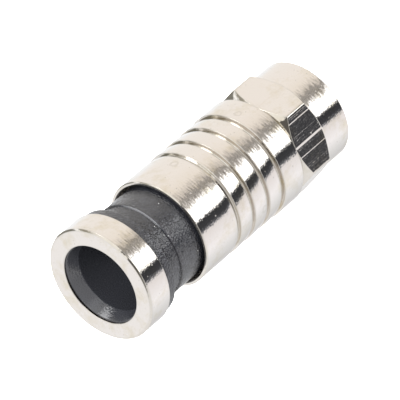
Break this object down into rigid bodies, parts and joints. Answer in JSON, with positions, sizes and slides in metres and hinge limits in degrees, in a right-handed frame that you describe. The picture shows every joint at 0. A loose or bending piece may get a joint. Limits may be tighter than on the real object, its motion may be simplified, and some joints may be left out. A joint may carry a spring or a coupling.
{
  "type": "f connector",
  "caption": "Straight compression type coaxial plug: hexagonal coupling nut, grooved nickel sleeve, black ferrule with a metal end ring.",
  "frame": {"origin": "centre of the coupling nut's front face, which the connector stands on", "axes": "+Z along the connector's axis, from the nut towards the cable end; two corners of the nut's hexagon lie on the Y axis, so that two of its flats face +X and -X"},
  "size_m": [0.0122, 0.0128, 0.0313],
  "materials": {
    "nickel_nut": "bright nickel plate on turned brass",
    "nickel_sleeve": "bright nickel plate on turned brass",
    "nickel_post": "bright nickel plate on turned brass",
    "nickel_ring": "bright nickel plate on turned brass",
    "seal_rubber": "matt black rubber",
    "black_acetal": "moulded black acetal, slightly scuffed"
  },
  "bodies": {
    "body": {"body_sleeve": "nickel_sleeve", "post": "nickel_post", "o_ring": "seal_rubber"},
    "nut": {"coupling_nut": "nickel_nut"},
    "ferrule": {"compression_ferrule": "black_acetal", "end_ring": "nickel_ring"}
  },
  "joints": [
    {"name": "nut_spin", "type": "hinge", "parent": "body", "child": "nut", "pos_m": [0, 0, 0.0062], "axis": [0, 0, 1], "continuous": true},
    {"name": "ferrule_slide", "type": "slide", "parent": "body", "child": "ferrule", "axis": [0, 0, -1], "range_m": [0, 0.00495]}
  ]
}
